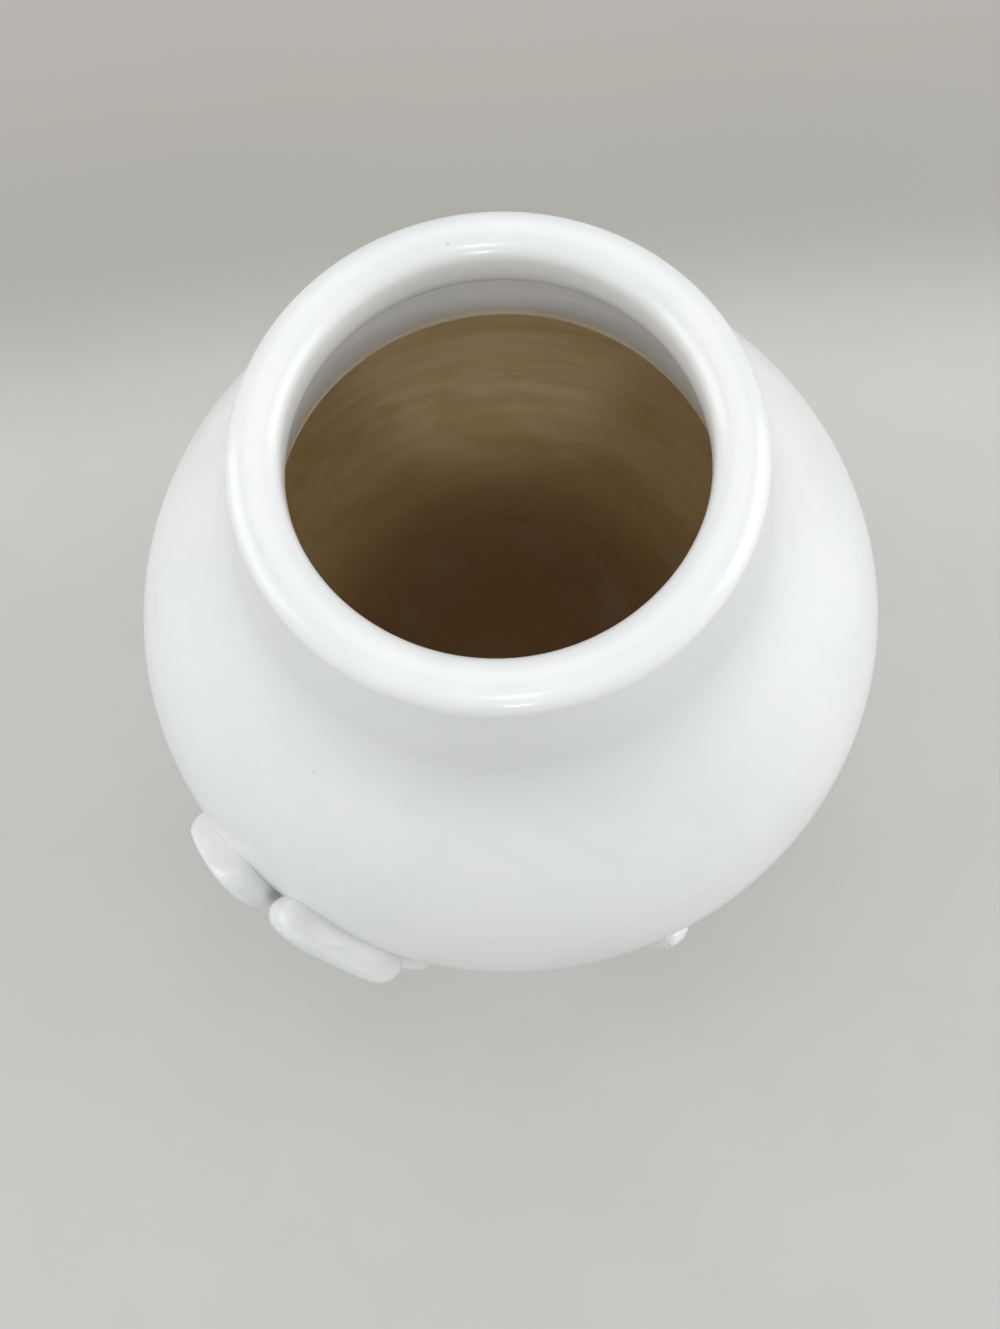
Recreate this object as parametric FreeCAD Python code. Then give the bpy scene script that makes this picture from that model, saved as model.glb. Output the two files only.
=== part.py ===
import FreeCAD
import Part
import math
import os

# A round porcelain jar, thrown as two bowls that are joined at the waist, with a conical neck,
# a rolled rim, a foot ring, and a blossom spray laid on the wall as separate pads of clay.
# Millimetres, +Z up. The origin is the centre of the foot ring's resting face.

# Body wall
body_radius = 60.0
waist_height = 57.5
shoulder_rise = 41.0
body_wall = 4.5

# Floor and foot ring
floor_thickness = 5.0
floor_flat_radius = 17.0
floor_blend_height = 13.0
foot_height = 4.5
foot_radius = 25.5
foot_width = 5.0
foot_taper = 1.0
foot_edge_round = 0.9

# Neck, between its foot on the shoulder and the seat of the rim
neck_base_height = 97.9
neck_base_radius = 34.4
neck_base_wall = 4.3
neck_lip_drop = 2.3
neck_lip_round = 2.6
neck_height = 12.3
neck_top_radius = 29.8
neck_top_wall = 2.9
seat_slant = 2.7

# Rolled rim, above the outer edge of its seat
rim_height = 5.8
rim_crest_height = 2.6
rim_outside_overhang = 1.6
rim_inside_overhang = 2.05

# Where the wall's ellipses end, as shares of their rise, and how far each curve follows its ends
shoulder_start_share = 0.584
inner_shoulder_start_share = 0.5
shoulder_pull_share = 0.55
neck_pull_share = 0.17
soft_pull_share = 0.42
round_pull_share = 0.5523

# Blossom: the azimuth of its middle, how far below the waist it sits, and how deep pads are bedded
spray_azimuth = math.radians(231.5)
bloom_drop = 14.0
pad_bed_depth = 1.6
petal_count = 5
first_petal_angle = math.radians(60.0)
petal_length = 22.5
petal_rim_rise = 4.5
petal_root_rise = 1.9
petal_dish = 1.8
centre_radius = 4.4
centre_rise = 4.3
bead_count = 8
bead_radius = 1.0
bead_ring_radius = 2.7

# Branch and twig, with half widths above the wall
branch_length = 58.0
branch_half_width = 1.8
twig_length = 15.0
twig_half_width = 1.2

# Leaves, and the bud in its cup
leaf_length = 13.5
leaf_half_width = 3.9
leaf_rise = 2.7
leaf_bow = 1.5
bud_length = 9.6
bud_half_width = 3.4
bud_rise = 3.5
calyx_length = 4.6
calyx_half_width = 2.7
calyx_rise = 3.1

# The branch leaves the blossom between two petals. Its route, as shares of its length right and up
branch_root_angle = math.radians(316.0)
branch_root_share = 0.80
branch_route_shares = [
    (1.0, -0.145),
    (0.94, -0.078),
    (0.81, 0),
    (0.63, 0.018),
    (0.44, -0.015),
    (0.28, -0.055),
    (0.145, -0.048),
    (0.057, -0.005),
    (-0.015, 0.05),
]
# The twig's route from its fork on the branch, as shares of its length right and up
twig_fork_index = 2
twig_route_shares = [
    (0, 0),
    (0.05, 0.22),
    (0.16, 0.48),
    (0.21, 0.76),
    (0.20, 1.0),
]
# Leaves on the branch: the route point that each grows from, its heading and the side it bows to
branch_leaves = [
    (4, math.radians(122.0), 1),
    (5, math.radians(-40.0), -1),
    (2, math.radians(35.0), -1),
]
# The leaf that shows behind the blossom
bloom_leaf_angle = math.radians(168.0)
bloom_leaf_share = 0.82
bud_heading = math.radians(96.0)
# The petals that the branch's root and that leaf lie against, counted from nought
root_petal_indices = (3, 4)
leaf_petal_indices = (1, 2)

# Sections of a pad: share of the half width, share of the rim's rise, share of the crown's rise
pad_ring_shares = [
    (1.0, 0.35, 0),
    (0.84, 1.0, 0),
    (0.45, 0.5, 0.5),
    (0, 0, 1.0),
    (-0.45, 0.5, 0.5),
    (-0.84, 1.0, 0),
    (-1.0, 0.35, 0),
]
pad_bed_share = 0.72

# Along a pad: share of its length, of its half width and of its rise. A petal's half width is that
# of its slice of the blossom, out at its tip.
petal_shares = [
    (0.14, 0.108, 0.45),
    (0.32, 0.28, 0.62),
    (0.52, 0.47, 0.82),
    (0.72, 0.617, 1.0),
    (0.87, 0.59, 1.0),
    (0.965, 0.38, 0.86),
]
leaf_shares = [
    (0.08, 0.30, 0.55),
    (0.25, 0.78, 0.86),
    (0.45, 1.0, 1.0),
    (0.66, 0.80, 0.87),
    (0.85, 0.42, 0.62),
    (0.95, 0.17, 0.46),
]
bud_shares = [
    (0.12, 0.62, 0.77),
    (0.34, 0.98, 0.98),
    (0.58, 1.0, 1.0),
    (0.80, 0.70, 0.82),
    (0.94, 0.34, 0.60),
]
calyx_shares = [
    (0.15, 0.50, 0.60),
    (0.50, 0.92, 0.92),
    (0.85, 1.0, 1.0),
]
stem_crown_share = 1.4
stem_rim_share = 0.9
pad_tip_share = 0.3
leaf_rim_share = 0.62
bud_rim_share = 0.6

# Sizes that follow from those above
lower_rise = (waist_height - foot_height) / math.sqrt(1 - (foot_radius / body_radius) ** 2)
inner_radius = body_radius - body_wall
inner_lower_rise = lower_rise - body_wall
inner_shoulder_rise = shoulder_rise - body_wall
floor_height = foot_height + floor_thickness
neck_top_height = neck_base_height + neck_height
bloom_middle = (0, -bloom_drop)
petal_half_width = petal_length * math.tan(math.pi / petal_count)


# A point of a section that is turned about the jar's axis
def at(radius, height):
    return FreeCAD.Vector(radius, 0, height)


neck_base = at(neck_base_radius, neck_base_height)
neck_lip = at(neck_base_radius - neck_base_wall, neck_base_height - neck_lip_drop)
seat_outside = at(neck_top_radius, neck_top_height)
seat_inside = at(neck_top_radius - neck_top_wall, neck_top_height - seat_slant)


def line(start, end):
    return Part.LineSegment(start, end).toShape()


def bezier(*poles):
    curve = Part.BezierCurve()
    curve.setPoles(list(poles))
    return curve.toShape()


# A quarter round from start to end, inside the corner between them
def quarter_round(start, corner, end):
    first_pull = start + (corner - start) * round_pull_share
    last_pull = end + (corner - end) * round_pull_share
    return bezier(start, first_pull, last_pull, end)


# A point of the wall's ellipse, at an angle above the waist
def wall_point(radius, rise, angle):
    return at(radius * math.cos(angle), waist_height + rise * math.sin(angle))


# The ellipse's direction there, towards larger angles
def wall_direction(radius, rise, angle):
    return at(-radius * math.sin(angle), rise * math.cos(angle)).normalize()


# The ellipse between two angles, as one curve
def wall_arc(radius, rise, low_angle, high_angle):
    centre = at(0, waist_height)
    side = at(radius, waist_height)
    top = at(0, waist_height + rise)
    ellipse = Part.Ellipse(top, side, centre) if rise > radius else Part.Ellipse(side, top, centre)
    ends = [ellipse.parameter(wall_point(radius, rise, angle)) for angle in (low_angle, high_angle)]
    turn = 2 * math.pi
    first, span = ends[0], (ends[1] - ends[0]) % turn
    if span > math.pi:
        first, span = ends[1], turn - span
    return Part.ArcOfEllipse(ellipse, first, first + span).toShape()


# A closed section turned about the jar's axis
def spin(edges):
    face = Part.Face(Part.Wire(Part.__sortEdges__(edges)))
    return face.revolve(FreeCAD.Vector(), FreeCAD.Vector(0, 0, 1), math.degrees(2 * math.pi))


shoulder_angle = math.asin(shoulder_start_share)
inner_shoulder_angle = math.asin(inner_shoulder_start_share)
foot_angle = -math.acos(foot_radius / body_radius)


# The outside of the wall from its ellipse up to the foot of the neck
def shoulder_curve():
    start = wall_point(body_radius, shoulder_rise, shoulder_angle)
    leave = wall_direction(body_radius, shoulder_rise, shoulder_angle)
    arrive = (seat_outside - neck_base).normalize()
    span = (neck_base - start).Length
    first_pull = start + leave * span * shoulder_pull_share
    last_pull = neck_base - arrive * span * neck_pull_share
    return bezier(start, first_pull, last_pull, neck_base)


# The inside of the wall from its ellipse up to the rounded lip under the neck
def inner_shoulder_curves():
    start = wall_point(inner_radius, inner_shoulder_rise, inner_shoulder_angle)
    leave = wall_direction(inner_radius, inner_shoulder_rise, inner_shoulder_angle)
    corner = neck_lip - at(0, neck_lip_round)
    end = corner + at(neck_lip_round, 0)
    pull = (end - start).Length * soft_pull_share
    arrive = (end - start).normalize()
    soft = bezier(start, start + leave * pull, end - arrive * pull, end)
    return [soft, quarter_round(end, corner, neck_lip)]


# The inside of the lower bowl: its flat floor, and the curve from there up to the wall's ellipse
def floor_curves():
    angle = -math.asin((waist_height - floor_height - floor_blend_height) / inner_lower_rise)
    start = at(floor_flat_radius, floor_height)
    end = wall_point(inner_radius, inner_lower_rise, angle)
    arrive = wall_direction(inner_radius, inner_lower_rise, angle)
    pull = (end - start).Length * soft_pull_share
    return [
        line(at(0, floor_height), start),
        bezier(start, start + at(pull, 0), end - arrive * pull, end),
        wall_arc(inner_radius, inner_lower_rise, angle, 0),
    ]


def lower_bowl():
    underside = [
        line(at(0, floor_height), at(0, foot_height)),
        line(at(0, foot_height), at(foot_radius, foot_height)),
    ]
    outside = wall_arc(body_radius, lower_rise, foot_angle, 0)
    joint = line(at(body_radius, waist_height), at(inner_radius, waist_height))
    return spin(underside + [outside, joint] + floor_curves())


def upper_bowl():
    joint = line(at(inner_radius, waist_height), at(body_radius, waist_height))
    outside = wall_arc(body_radius, shoulder_rise, 0, shoulder_angle)
    neck_joint = line(neck_base, neck_lip)
    inside = wall_arc(inner_radius, inner_shoulder_rise, 0, inner_shoulder_angle)
    return spin([joint, outside, shoulder_curve(), neck_joint, inside] + inner_shoulder_curves())


def neck_collar():
    return spin(
        [
            line(neck_base, seat_outside),
            line(seat_outside, seat_inside),
            line(seat_inside, neck_lip),
            line(neck_lip, neck_base),
        ]
    )


def rolled_rim():
    outside = seat_outside.x + rim_outside_overhang
    inside = seat_inside.x - rim_inside_overhang
    top = neck_top_height + rim_height
    widest = top - rim_crest_height
    crest = at((outside + inside) / 2, top)
    return spin(
        [
            line(seat_inside, seat_outside),
            quarter_round(seat_outside, at(outside, seat_outside.z), at(outside, widest)),
            quarter_round(at(outside, widest), at(outside, top), crest),
            quarter_round(crest, at(inside, top), at(inside, widest)),
            quarter_round(at(inside, widest), at(inside, seat_inside.z), seat_inside),
        ]
    )


def foot_ring():
    top_outside = at(foot_radius, foot_height)
    top_inside = at(foot_radius - foot_width, foot_height)
    corner_outside = at(foot_radius - foot_taper, 0)
    corner_inside = at(foot_radius - foot_width + foot_taper / 2, 0)
    to_inside = at(foot_edge_round, 0)
    up_outside = corner_outside + (top_outside - corner_outside).normalize() * foot_edge_round
    up_inside = corner_inside + (top_inside - corner_inside).normalize() * foot_edge_round
    return spin(
        [
            line(top_inside, top_outside),
            line(top_outside, up_outside),
            quarter_round(up_outside, corner_outside, corner_outside - to_inside),
            line(corner_outside - to_inside, corner_inside + to_inside),
            quarter_round(corner_inside + to_inside, corner_inside, up_inside),
            line(up_inside, top_inside),
        ]
    )


# The room inside the wall's outer face, which trims the back of each pad so that it lies on the wall
def wall_core():
    top = wall_point(body_radius, shoulder_rise, shoulder_angle)
    return spin(
        [
            line(at(0, top.z), at(0, foot_height)),
            line(at(0, foot_height), at(foot_radius, foot_height)),
            wall_arc(body_radius, lower_rise, foot_angle, 0),
            wall_arc(body_radius, shoulder_rise, 0, shoulder_angle),
            line(top, at(0, top.z)),
        ]
    )


# A point that stands proud of the wall, right of the blossom's middle and up from the waist
def on_wall(right, up, proud):
    rise = shoulder_rise if up > 0 else lower_rise
    angle = up / rise
    foot = wall_point(body_radius, rise, angle)
    outward = at(math.cos(angle) / body_radius, math.sin(angle) / rise).normalize()
    point = foot + outward * proud
    azimuth = spray_azimuth + right / body_radius
    return FreeCAD.Vector(point.x * math.cos(azimuth), point.x * math.sin(azimuth), point.z)


def step(place, angle, distance):
    return (place[0] + distance * math.cos(angle), place[1] + distance * math.sin(angle))


def heading(start, end):
    return math.atan2(end[1] - start[1], end[0] - start[0])


# Places along a route, from where it starts
def route(start, length, shares):
    return [(start[0] + length * right, start[1] + length * up) for right, up in shares]


def spline(points, closed):
    curve = Part.BSplineCurve()
    curve.interpolate(Points=points, PeriodicFlag=closed)
    return curve.toShape()


# A closed ring across a pad that points along angle, high at its two rims and at its crown, and
# either soft all round or with a crisp edge at each side
def ring(middle, angle, half_width, rim, crown, crisp=False):
    across = angle - math.pi / 2
    top = [(side, low * rim + high * crown) for side, low, high in pad_ring_shares]
    bed = [(-pad_bed_share, -pad_bed_depth), (pad_bed_share, -pad_bed_depth)]
    points = [on_wall(*step(middle, across, side * half_width), proud) for side, proud in top + bed]
    if not crisp:
        return Part.Wire([spline(points, True)])
    first, last = points[0], points[len(top) - 1]
    return Part.Wire([spline(points[: len(top)], False), spline([last] + points[len(top) :] + [first], False)])


# A pad of clay, drawn from a bedded point through its rings to a point
def pad(start, rings, end, tip_rise=-pad_bed_depth):
    first, last = on_wall(*start, -pad_bed_depth), on_wall(*end, tip_rise)
    return Part.makeLoft([Part.Vertex(first)] + rings + [Part.Vertex(last)], True, False)


def petal(number):
    angle = first_petal_angle + number * 2 * math.pi / petal_count
    rings = []
    for length_share, width_share, rise_share in petal_shares:
        rim = petal_rim_rise * rise_share
        crown = max(rim - petal_dish * width_share, petal_root_rise)
        middle = step(bloom_middle, angle, petal_length * length_share)
        rings.append(ring(middle, angle, petal_half_width * width_share, rim, crown, True))
    root = step(bloom_middle, angle, petal_length * petal_shares[0][0] / 2)
    tip = step(bloom_middle, angle, petal_length)
    return pad(root, rings, tip, petal_rim_rise * pad_tip_share)


# The low round button in the middle of the blossom
def blossom_centre():
    foot = on_wall(*bloom_middle, 0)
    outward = on_wall(*bloom_middle, centre_rise) - foot
    flatten = FreeCAD.Matrix()
    flatten.scale(1, 1, centre_rise / centre_radius)
    button = Part.makeSphere(centre_radius).transformGeometry(flatten)
    button.Placement = FreeCAD.Placement(foot, FreeCAD.Rotation(FreeCAD.Vector(0, 0, 1), outward))
    return button


# A ring of small beads seated on the button
def stamen_beads(button):
    lift = centre_rise * math.sqrt(1 - (bead_ring_radius / centre_radius) ** 2)
    beads = []
    for number in range(bead_count):
        middle = step(bloom_middle, number * 2 * math.pi / bead_count, bead_ring_radius)
        beads.append(Part.makeSphere(bead_radius, on_wall(*middle, lift)).cut(button))
    return Part.makeCompound(beads)


# A round stem laid along its route on the wall
def stem(places, half_width):
    rim, crown = half_width * stem_rim_share, half_width * stem_crown_share
    rings = []
    for before, middle, after in zip(places, places[1:], places[2:]):
        rings.append(ring(middle, heading(before, after), half_width, rim, crown))
    return pad(places[0], rings, places[-1])


# A pointed leaf that bows to one side
def leaf(base, angle, side):
    bow = leaf_bow * side
    rings = []
    for length_share, width_share, rise_share in leaf_shares:
        straight = step(base, angle, leaf_length * length_share)
        middle = step(straight, angle + math.pi / 2, bow * math.sin(math.pi * length_share))
        turn = math.atan2(bow * math.pi * math.cos(math.pi * length_share), leaf_length)
        crown = leaf_rise * rise_share
        rings.append(ring(middle, angle + turn, leaf_half_width * width_share, crown * leaf_rim_share, crown))
    return pad(base, rings, step(base, angle, leaf_length))


# A closed bud, or the cup that holds it
def bud_pad(base, shares, length, half_width, rise):
    rings = []
    for length_share, width_share, rise_share in shares:
        middle = step(base, bud_heading, length * length_share)
        crown = rise * rise_share
        rings.append(ring(middle, bud_heading, half_width * width_share, crown * bud_rim_share, crown))
    return pad(base, rings, step(base, bud_heading, length))


# A pad without what lies inside the wall or inside the pads that were laid before it
def laid(shape, *before):
    for tool in (wall_core(),) + before:
        shape = shape.cut(tool)
    return shape


def blossom():
    button = blossom_centre()
    pads = {"blossom_centre": laid(button), "stamen_beads": stamen_beads(button)}
    for number in range(petal_count):
        pads[f"petal_{number + 1}"] = laid(petal(number), button)
    return pads


def spray():
    root = step(bloom_middle, branch_root_angle, petal_length * branch_root_share)
    branch_places = route(root, branch_length, branch_route_shares)
    twig_places = route(branch_places[twig_fork_index], twig_length, twig_route_shares)
    cup_base = step(twig_places[-1], bud_heading, -calyx_length / 2)
    branch = stem(branch_places, branch_half_width)
    twig = stem(twig_places, twig_half_width)
    bud = bud_pad(twig_places[-1], bud_shares, bud_length, bud_half_width, bud_rise)
    cup = bud_pad(cup_base, calyx_shares, calyx_length, calyx_half_width, calyx_rise)
    pads = {
        "branch": laid(branch, *[petal(number) for number in root_petal_indices]),
        "bud": laid(bud),
        "bud_calyx": laid(cup, bud),
        "bud_twig": laid(twig, branch, cup, bud),
    }
    for number, (index, angle, side) in enumerate(branch_leaves):
        pads[f"leaf_{number + 1}"] = laid(leaf(branch_places[index], angle, side), branch, twig)
    base = step(bloom_middle, bloom_leaf_angle, petal_length * bloom_leaf_share)
    petals = [petal(number) for number in leaf_petal_indices]
    pads[f"leaf_{len(branch_leaves) + 1}"] = laid(leaf(base, bloom_leaf_angle, 1), *petals)
    return pads


def build():
    pieces = {
        "lower_bowl": lower_bowl(),
        "upper_bowl": upper_bowl(),
        "neck_collar": neck_collar(),
        "rolled_rim": rolled_rim(),
        "foot_ring": foot_ring(),
    }
    return {**pieces, **blossom(), **spray()}


def main():
    os.makedirs("parts", exist_ok=True)
    for name, shape in build().items():
        shape.exportStep(f"parts/{name}.step")
        print(name, "solids", len(shape.Solids), "valid", shape.isValid(), "volume", round(shape.Volume, 2))


main()
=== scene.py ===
import bmesh
import bpy
import math
from mathutils import Matrix, Vector, noise


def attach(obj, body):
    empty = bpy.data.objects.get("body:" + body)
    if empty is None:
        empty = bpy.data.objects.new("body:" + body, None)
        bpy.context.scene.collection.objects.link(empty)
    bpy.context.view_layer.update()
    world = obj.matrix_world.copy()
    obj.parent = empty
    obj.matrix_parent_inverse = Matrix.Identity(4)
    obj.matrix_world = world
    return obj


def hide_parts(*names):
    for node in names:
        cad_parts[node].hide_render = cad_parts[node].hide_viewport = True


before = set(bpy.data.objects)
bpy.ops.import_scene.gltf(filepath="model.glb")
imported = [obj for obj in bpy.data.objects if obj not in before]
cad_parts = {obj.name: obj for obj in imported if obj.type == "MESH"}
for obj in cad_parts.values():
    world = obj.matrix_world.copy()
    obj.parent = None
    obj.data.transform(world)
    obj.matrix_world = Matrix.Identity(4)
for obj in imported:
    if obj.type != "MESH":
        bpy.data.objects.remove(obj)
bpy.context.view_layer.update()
scene = bpy.context.scene

mm = 0.001
fullTurn = 2 * math.pi


def printStage(text):
    print("stage:", text, flush=True)


# From 0 at low to 1 at high, with a soft start and end
def ease(low, high, value):
    share = min(max((value - low) / (high - low), 0.0), 1.0)
    return share * share * (3 - 2 * share)


# High between two fades, each from where it is 0 to where it is 1
def between(fades, value):
    return ease(*fades[0], value) * ease(*fades[1], value)


def bell(value, width):
    return math.exp(-((value / width) ** 2))


# Narrow ridges with wide hollows between them
def ridge(angle, power):
    return (0.5 + 0.5 * math.cos(angle)) ** power


def tableOf(places, *values):
    return list(zip(places, values))


# A smooth curve through a table of places and values
def curveAt(table, place):
    last = len(table) - 1
    if place <= table[0][0]:
        return table[0][1]
    if place >= table[last][0]:
        return table[last][1]
    index = next(number for number in range(last) if place <= table[number + 1][0])

    def slope(number):
        before, after = table[max(number - 1, 0)], table[min(number + 1, last)]
        return (after[1] - before[1]) / (after[0] - before[0])

    (low, first), (high, second) = table[index], table[index + 1]
    span = high - low
    share = (place - low) / span
    square, cube = share**2, share**3
    return (
        (2 * cube - 3 * square + 1) * first
        + (cube - 2 * square + share) * span * slope(index)
        + (3 * square - 2 * cube) * second
        + (cube - square) * span * slope(index + 1)
    )


def addNode(tree, kind, values=None, **settings):
    made = tree.nodes.new("ShaderNode" + kind)
    for key, value in settings.items():
        setattr(made, key, value)
    for key, value in (values or {}).items():
        if isinstance(value, bpy.types.NodeSocket):
            tree.links.new(value, made.inputs[key])
        else:
            made.inputs[key].default_value = value
    return made


def mathNode(tree, operation, first, second, clamp=False):
    return addNode(tree, "Math", {0: first, 1: second}, operation=operation, use_clamp=clamp).outputs[0]


# A value times a factor plus a shift
def scaledNode(tree, value, factor, shift):
    return addNode(tree, "Math", {0: value, 1: factor, 2: shift}, operation="MULTIPLY_ADD").outputs[0]


def mixNode(tree, factor, *colours):
    first, second = (each if isinstance(each, bpy.types.NodeSocket) else (*each, 1.0) for each in colours)
    return addNode(tree, "Mix", {0: factor, 6: first, 7: second}, data_type="RGBA").outputs[2]


def mixValue(tree, factor, first, second):
    return addNode(tree, "Mix", {0: factor, 2: first, 3: second}, data_type="FLOAT").outputs[0]


def rangeNode(tree, value, fromLow, fromHigh, toLow=0.0, toHigh=1.0):
    ends = {"Value": value, "From Min": fromLow, "From Max": fromHigh, "To Min": toLow, "To Max": toHigh}
    return addNode(tree, "MapRange", ends, interpolation_type="SMOOTHSTEP").outputs[0]


def squeezed(tree, place, squeeze):
    return addNode(tree, "Mapping", {"Vector": place, "Scale": (1.0, 1.0, squeeze)}).outputs[0]


# A pattern's noise is its scale, detail, roughness and distortion, and it can be squeezed upwards
def noiseNode(tree, place, pattern):
    if "squeeze" in pattern:
        place = squeezed(tree, place, pattern["squeeze"])
    values = dict(zip(("Scale", "Detail", "Roughness", "Distortion"), pattern["noise"]))
    return addNode(tree, "TexNoise", {"Vector": place, **values}).outputs[0]


# Its band is the part that is spread over 0 to 1, or over the third and fourth values
def bandNode(tree, place, pattern):
    return rangeNode(tree, noiseNode(tree, place, pattern), *pattern["band"])


# A value that a pattern moves by up to half its wander, either way
def wavyNode(tree, value, place, pattern):
    size = pattern["wander"]
    return mathNode(tree, "ADD", value, scaledNode(tree, noiseNode(tree, place, pattern), size, -size / 2))


def heightRange(tree, level, ends):
    return rangeNode(tree, level, *(end * mm for end in ends))


def placeNode(tree):
    return addNode(tree, "TexCoord").outputs["Object"]


def partNode(tree, vector, index):
    return addNode(tree, "SeparateXYZ", {0: vector}).outputs[index]


def attributeNode(tree, name):
    return addNode(tree, "Attribute", attribute_name=name).outputs["Fac"]


# A bump is its strength and its depth in millimetres
def bumpNode(tree, height, bump, normal=None):
    values = {"Height": height, "Strength": bump[0], "Distance": bump[1] * mm}
    if normal is not None:
        values["Normal"] = normal
    return addNode(tree, "Bump", values).outputs[0]


def roughNode(tree, place, pattern, normal=None):
    return bumpNode(tree, noiseNode(tree, place, pattern), pattern["bump"], normal)


def newMaterial(name):
    made = bpy.data.materials.new(name)
    made.use_nodes = True
    made.node_tree.nodes.clear()
    return made, made.node_tree


def finishMaterial(tree, values, normal):
    shader = addNode(tree, "BsdfPrincipled", {**values, "Normal": normal})
    output = addNode(tree, "OutputMaterial")
    tree.links.new(shader.outputs[0], output.inputs["Surface"])


glazeIor = 1.5
fleckCore = 0.35


# Sparse round flecks: a cell pattern whose centres show only in a few of the cells
def fleckNode(tree, place, pattern):
    cells = addNode(tree, "TexVoronoi", {"Vector": place, "Scale": pattern["scale"]})
    spot = rangeNode(tree, cells.outputs["Distance"], pattern["size"], pattern["size"] * fleckCore)
    parts = addNode(tree, "SeparateColor", {0: cells.outputs["Color"]})
    picked = mathNode(tree, "GREATER_THAN", parts.outputs[0], pattern["chosenAbove"])
    return mathNode(tree, "MULTIPLY", spot, picked)


# Lengths are in millimetres from here on. The neck's outside, under the rim, is painted greyer as
# painted shade. Its wall has its middle at wallMiddle where it starts, and leans in by wallSlope
neckShadeValues = {
    "tone": (0.665, 0.685, 0.67),
    "share": 0.72,
    "rising": (86.0, 99.0),
    "falling": (110.6, 109.0),
    "wallMiddle": 32.0,
    "wallSlope": 1 / 3,
    "wallSoft": 0.5,
}


# Painted shade: the neck's outside made greyer under the rim
def paintedNeckShade(tree, place, tone):
    values = neckShadeValues
    level = partNode(tree, place, 2)
    rising, falling = (heightRange(tree, level, values[name]) for name in ("rising", "falling"))
    radius = addNode(tree, "VectorMath", {0: squeezed(tree, place, 0.0)}, operation="LENGTH").outputs["Value"]
    outward = scaledNode(tree, level, values["wallSlope"], radius)
    middle = values["wallMiddle"] + jar["neckBase"].y * values["wallSlope"]
    low, high = (middle - values["wallSoft"]) * mm, (middle + values["wallSoft"]) * mm
    outer = rangeNode(tree, outward, low, high, 0.0, values["share"])
    share = mathNode(tree, "MULTIPLY", mathNode(tree, "MULTIPLY", rising, falling), outer)
    return mixNode(tree, share, tone, values["tone"])


insideValues = {
    "light": (0.925, 0.785, 0.525),
    "dark": (0.865, 0.70, 0.43),
    "patch": (0.74, 0.58, 0.31),
    # The floor colour is a painted shade, blended in towards the bottom inside
    "floor": (0.33, 0.195, 0.08),
    "floorShadeHeights": (33.0, 7.0),
    "edge": {"noise": (260.0, 3.0, 0.6, 0.0), "wander": 0.3, "band": (0.15, 0.85)},
    "rings": {"noise": (24.0, 5.0, 0.6, 0.5), "squeeze": 9.0, "band": (0.3, 0.7)},
    "patches": {"noise": (21.0, 4.0, 0.6, 1.4), "squeeze": 2.2, "band": (0.46, 0.66, 0.0, 0.7)},
    "matt": {"noise": (60.0, 3.0, 0.55, 0.0), "band": (0.35, 0.65, 0.30, 0.56)},
    "grooves": {"noise": (42.0, 4.0, 0.55, 0.3), "squeeze": 11.0, "bump": (0.4, 0.5)},
}


# The bare clay inside, from the neck's lip down, with a painted shade that darkens its floor
def insideLayer(tree, place, tone, gloss, normal):
    values = insideValues
    inside = wavyNode(tree, attributeNode(tree, "inside"), place, values["edge"])
    share = rangeNode(tree, inside, *values["edge"]["band"])
    body = mixNode(tree, bandNode(tree, place, values["rings"]), values["light"], values["dark"])
    body = mixNode(tree, bandNode(tree, place, values["patches"]), body, values["patch"])
    # Painted shade: darker towards the floor inside
    low = heightRange(tree, partNode(tree, place, 2), values["floorShadeHeights"])
    body = mixNode(tree, low, body, values["floor"])
    tone = mixNode(tree, share, tone, body)
    gloss = mixValue(tree, share, gloss, bandNode(tree, place, values["matt"]))
    grooves = mathNode(tree, "MULTIPLY", noiseNode(tree, place, values["grooves"]), share)
    return tone, gloss, bumpNode(tree, grooves, values["grooves"]["bump"], normal)


glazeValues = {
    "light": (0.86, 0.872, 0.86),
    "shade": (0.805, 0.822, 0.818),
    "warm": (0.72, 0.60, 0.43),
    "fleck": (0.33, 0.22, 0.13),
    "fleckShare": 0.3,
    "roughness": 0.2,
    "roughnessSpread": 0.09,
    "cloud": {"noise": (34.0, 4.0, 0.55, 0.4), "band": (0.35, 0.68)},
    "streak": {"noise": (150.0, 3.0, 0.6, 0.0), "band": (0.3, 0.7, 0.35, 1.0)},
    "flecks": {"scale": 260.0, "size": 0.075, "chosenAbove": 0.955},
    "pinholes": {"scale": 420.0, "size": 0.08, "chosenAbove": 0.90, "bump": (0.35, 0.08)},
    "sheen": {"noise": (95.0, 3.0, 0.6, 0.0)},
    "peel": {"noise": (420.0, 2.0, 0.5, 0.0), "bump": (0.16, 0.06)},
    "throwing": {"noise": (26.0, 3.0, 0.5, 0.15), "squeeze": 14.0, "bump": (0.30, 0.35)},
    "dents": {"noise": (22.0, 2.0, 0.5, 0.0), "bump": (0.5, 0.9)},
}


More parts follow.
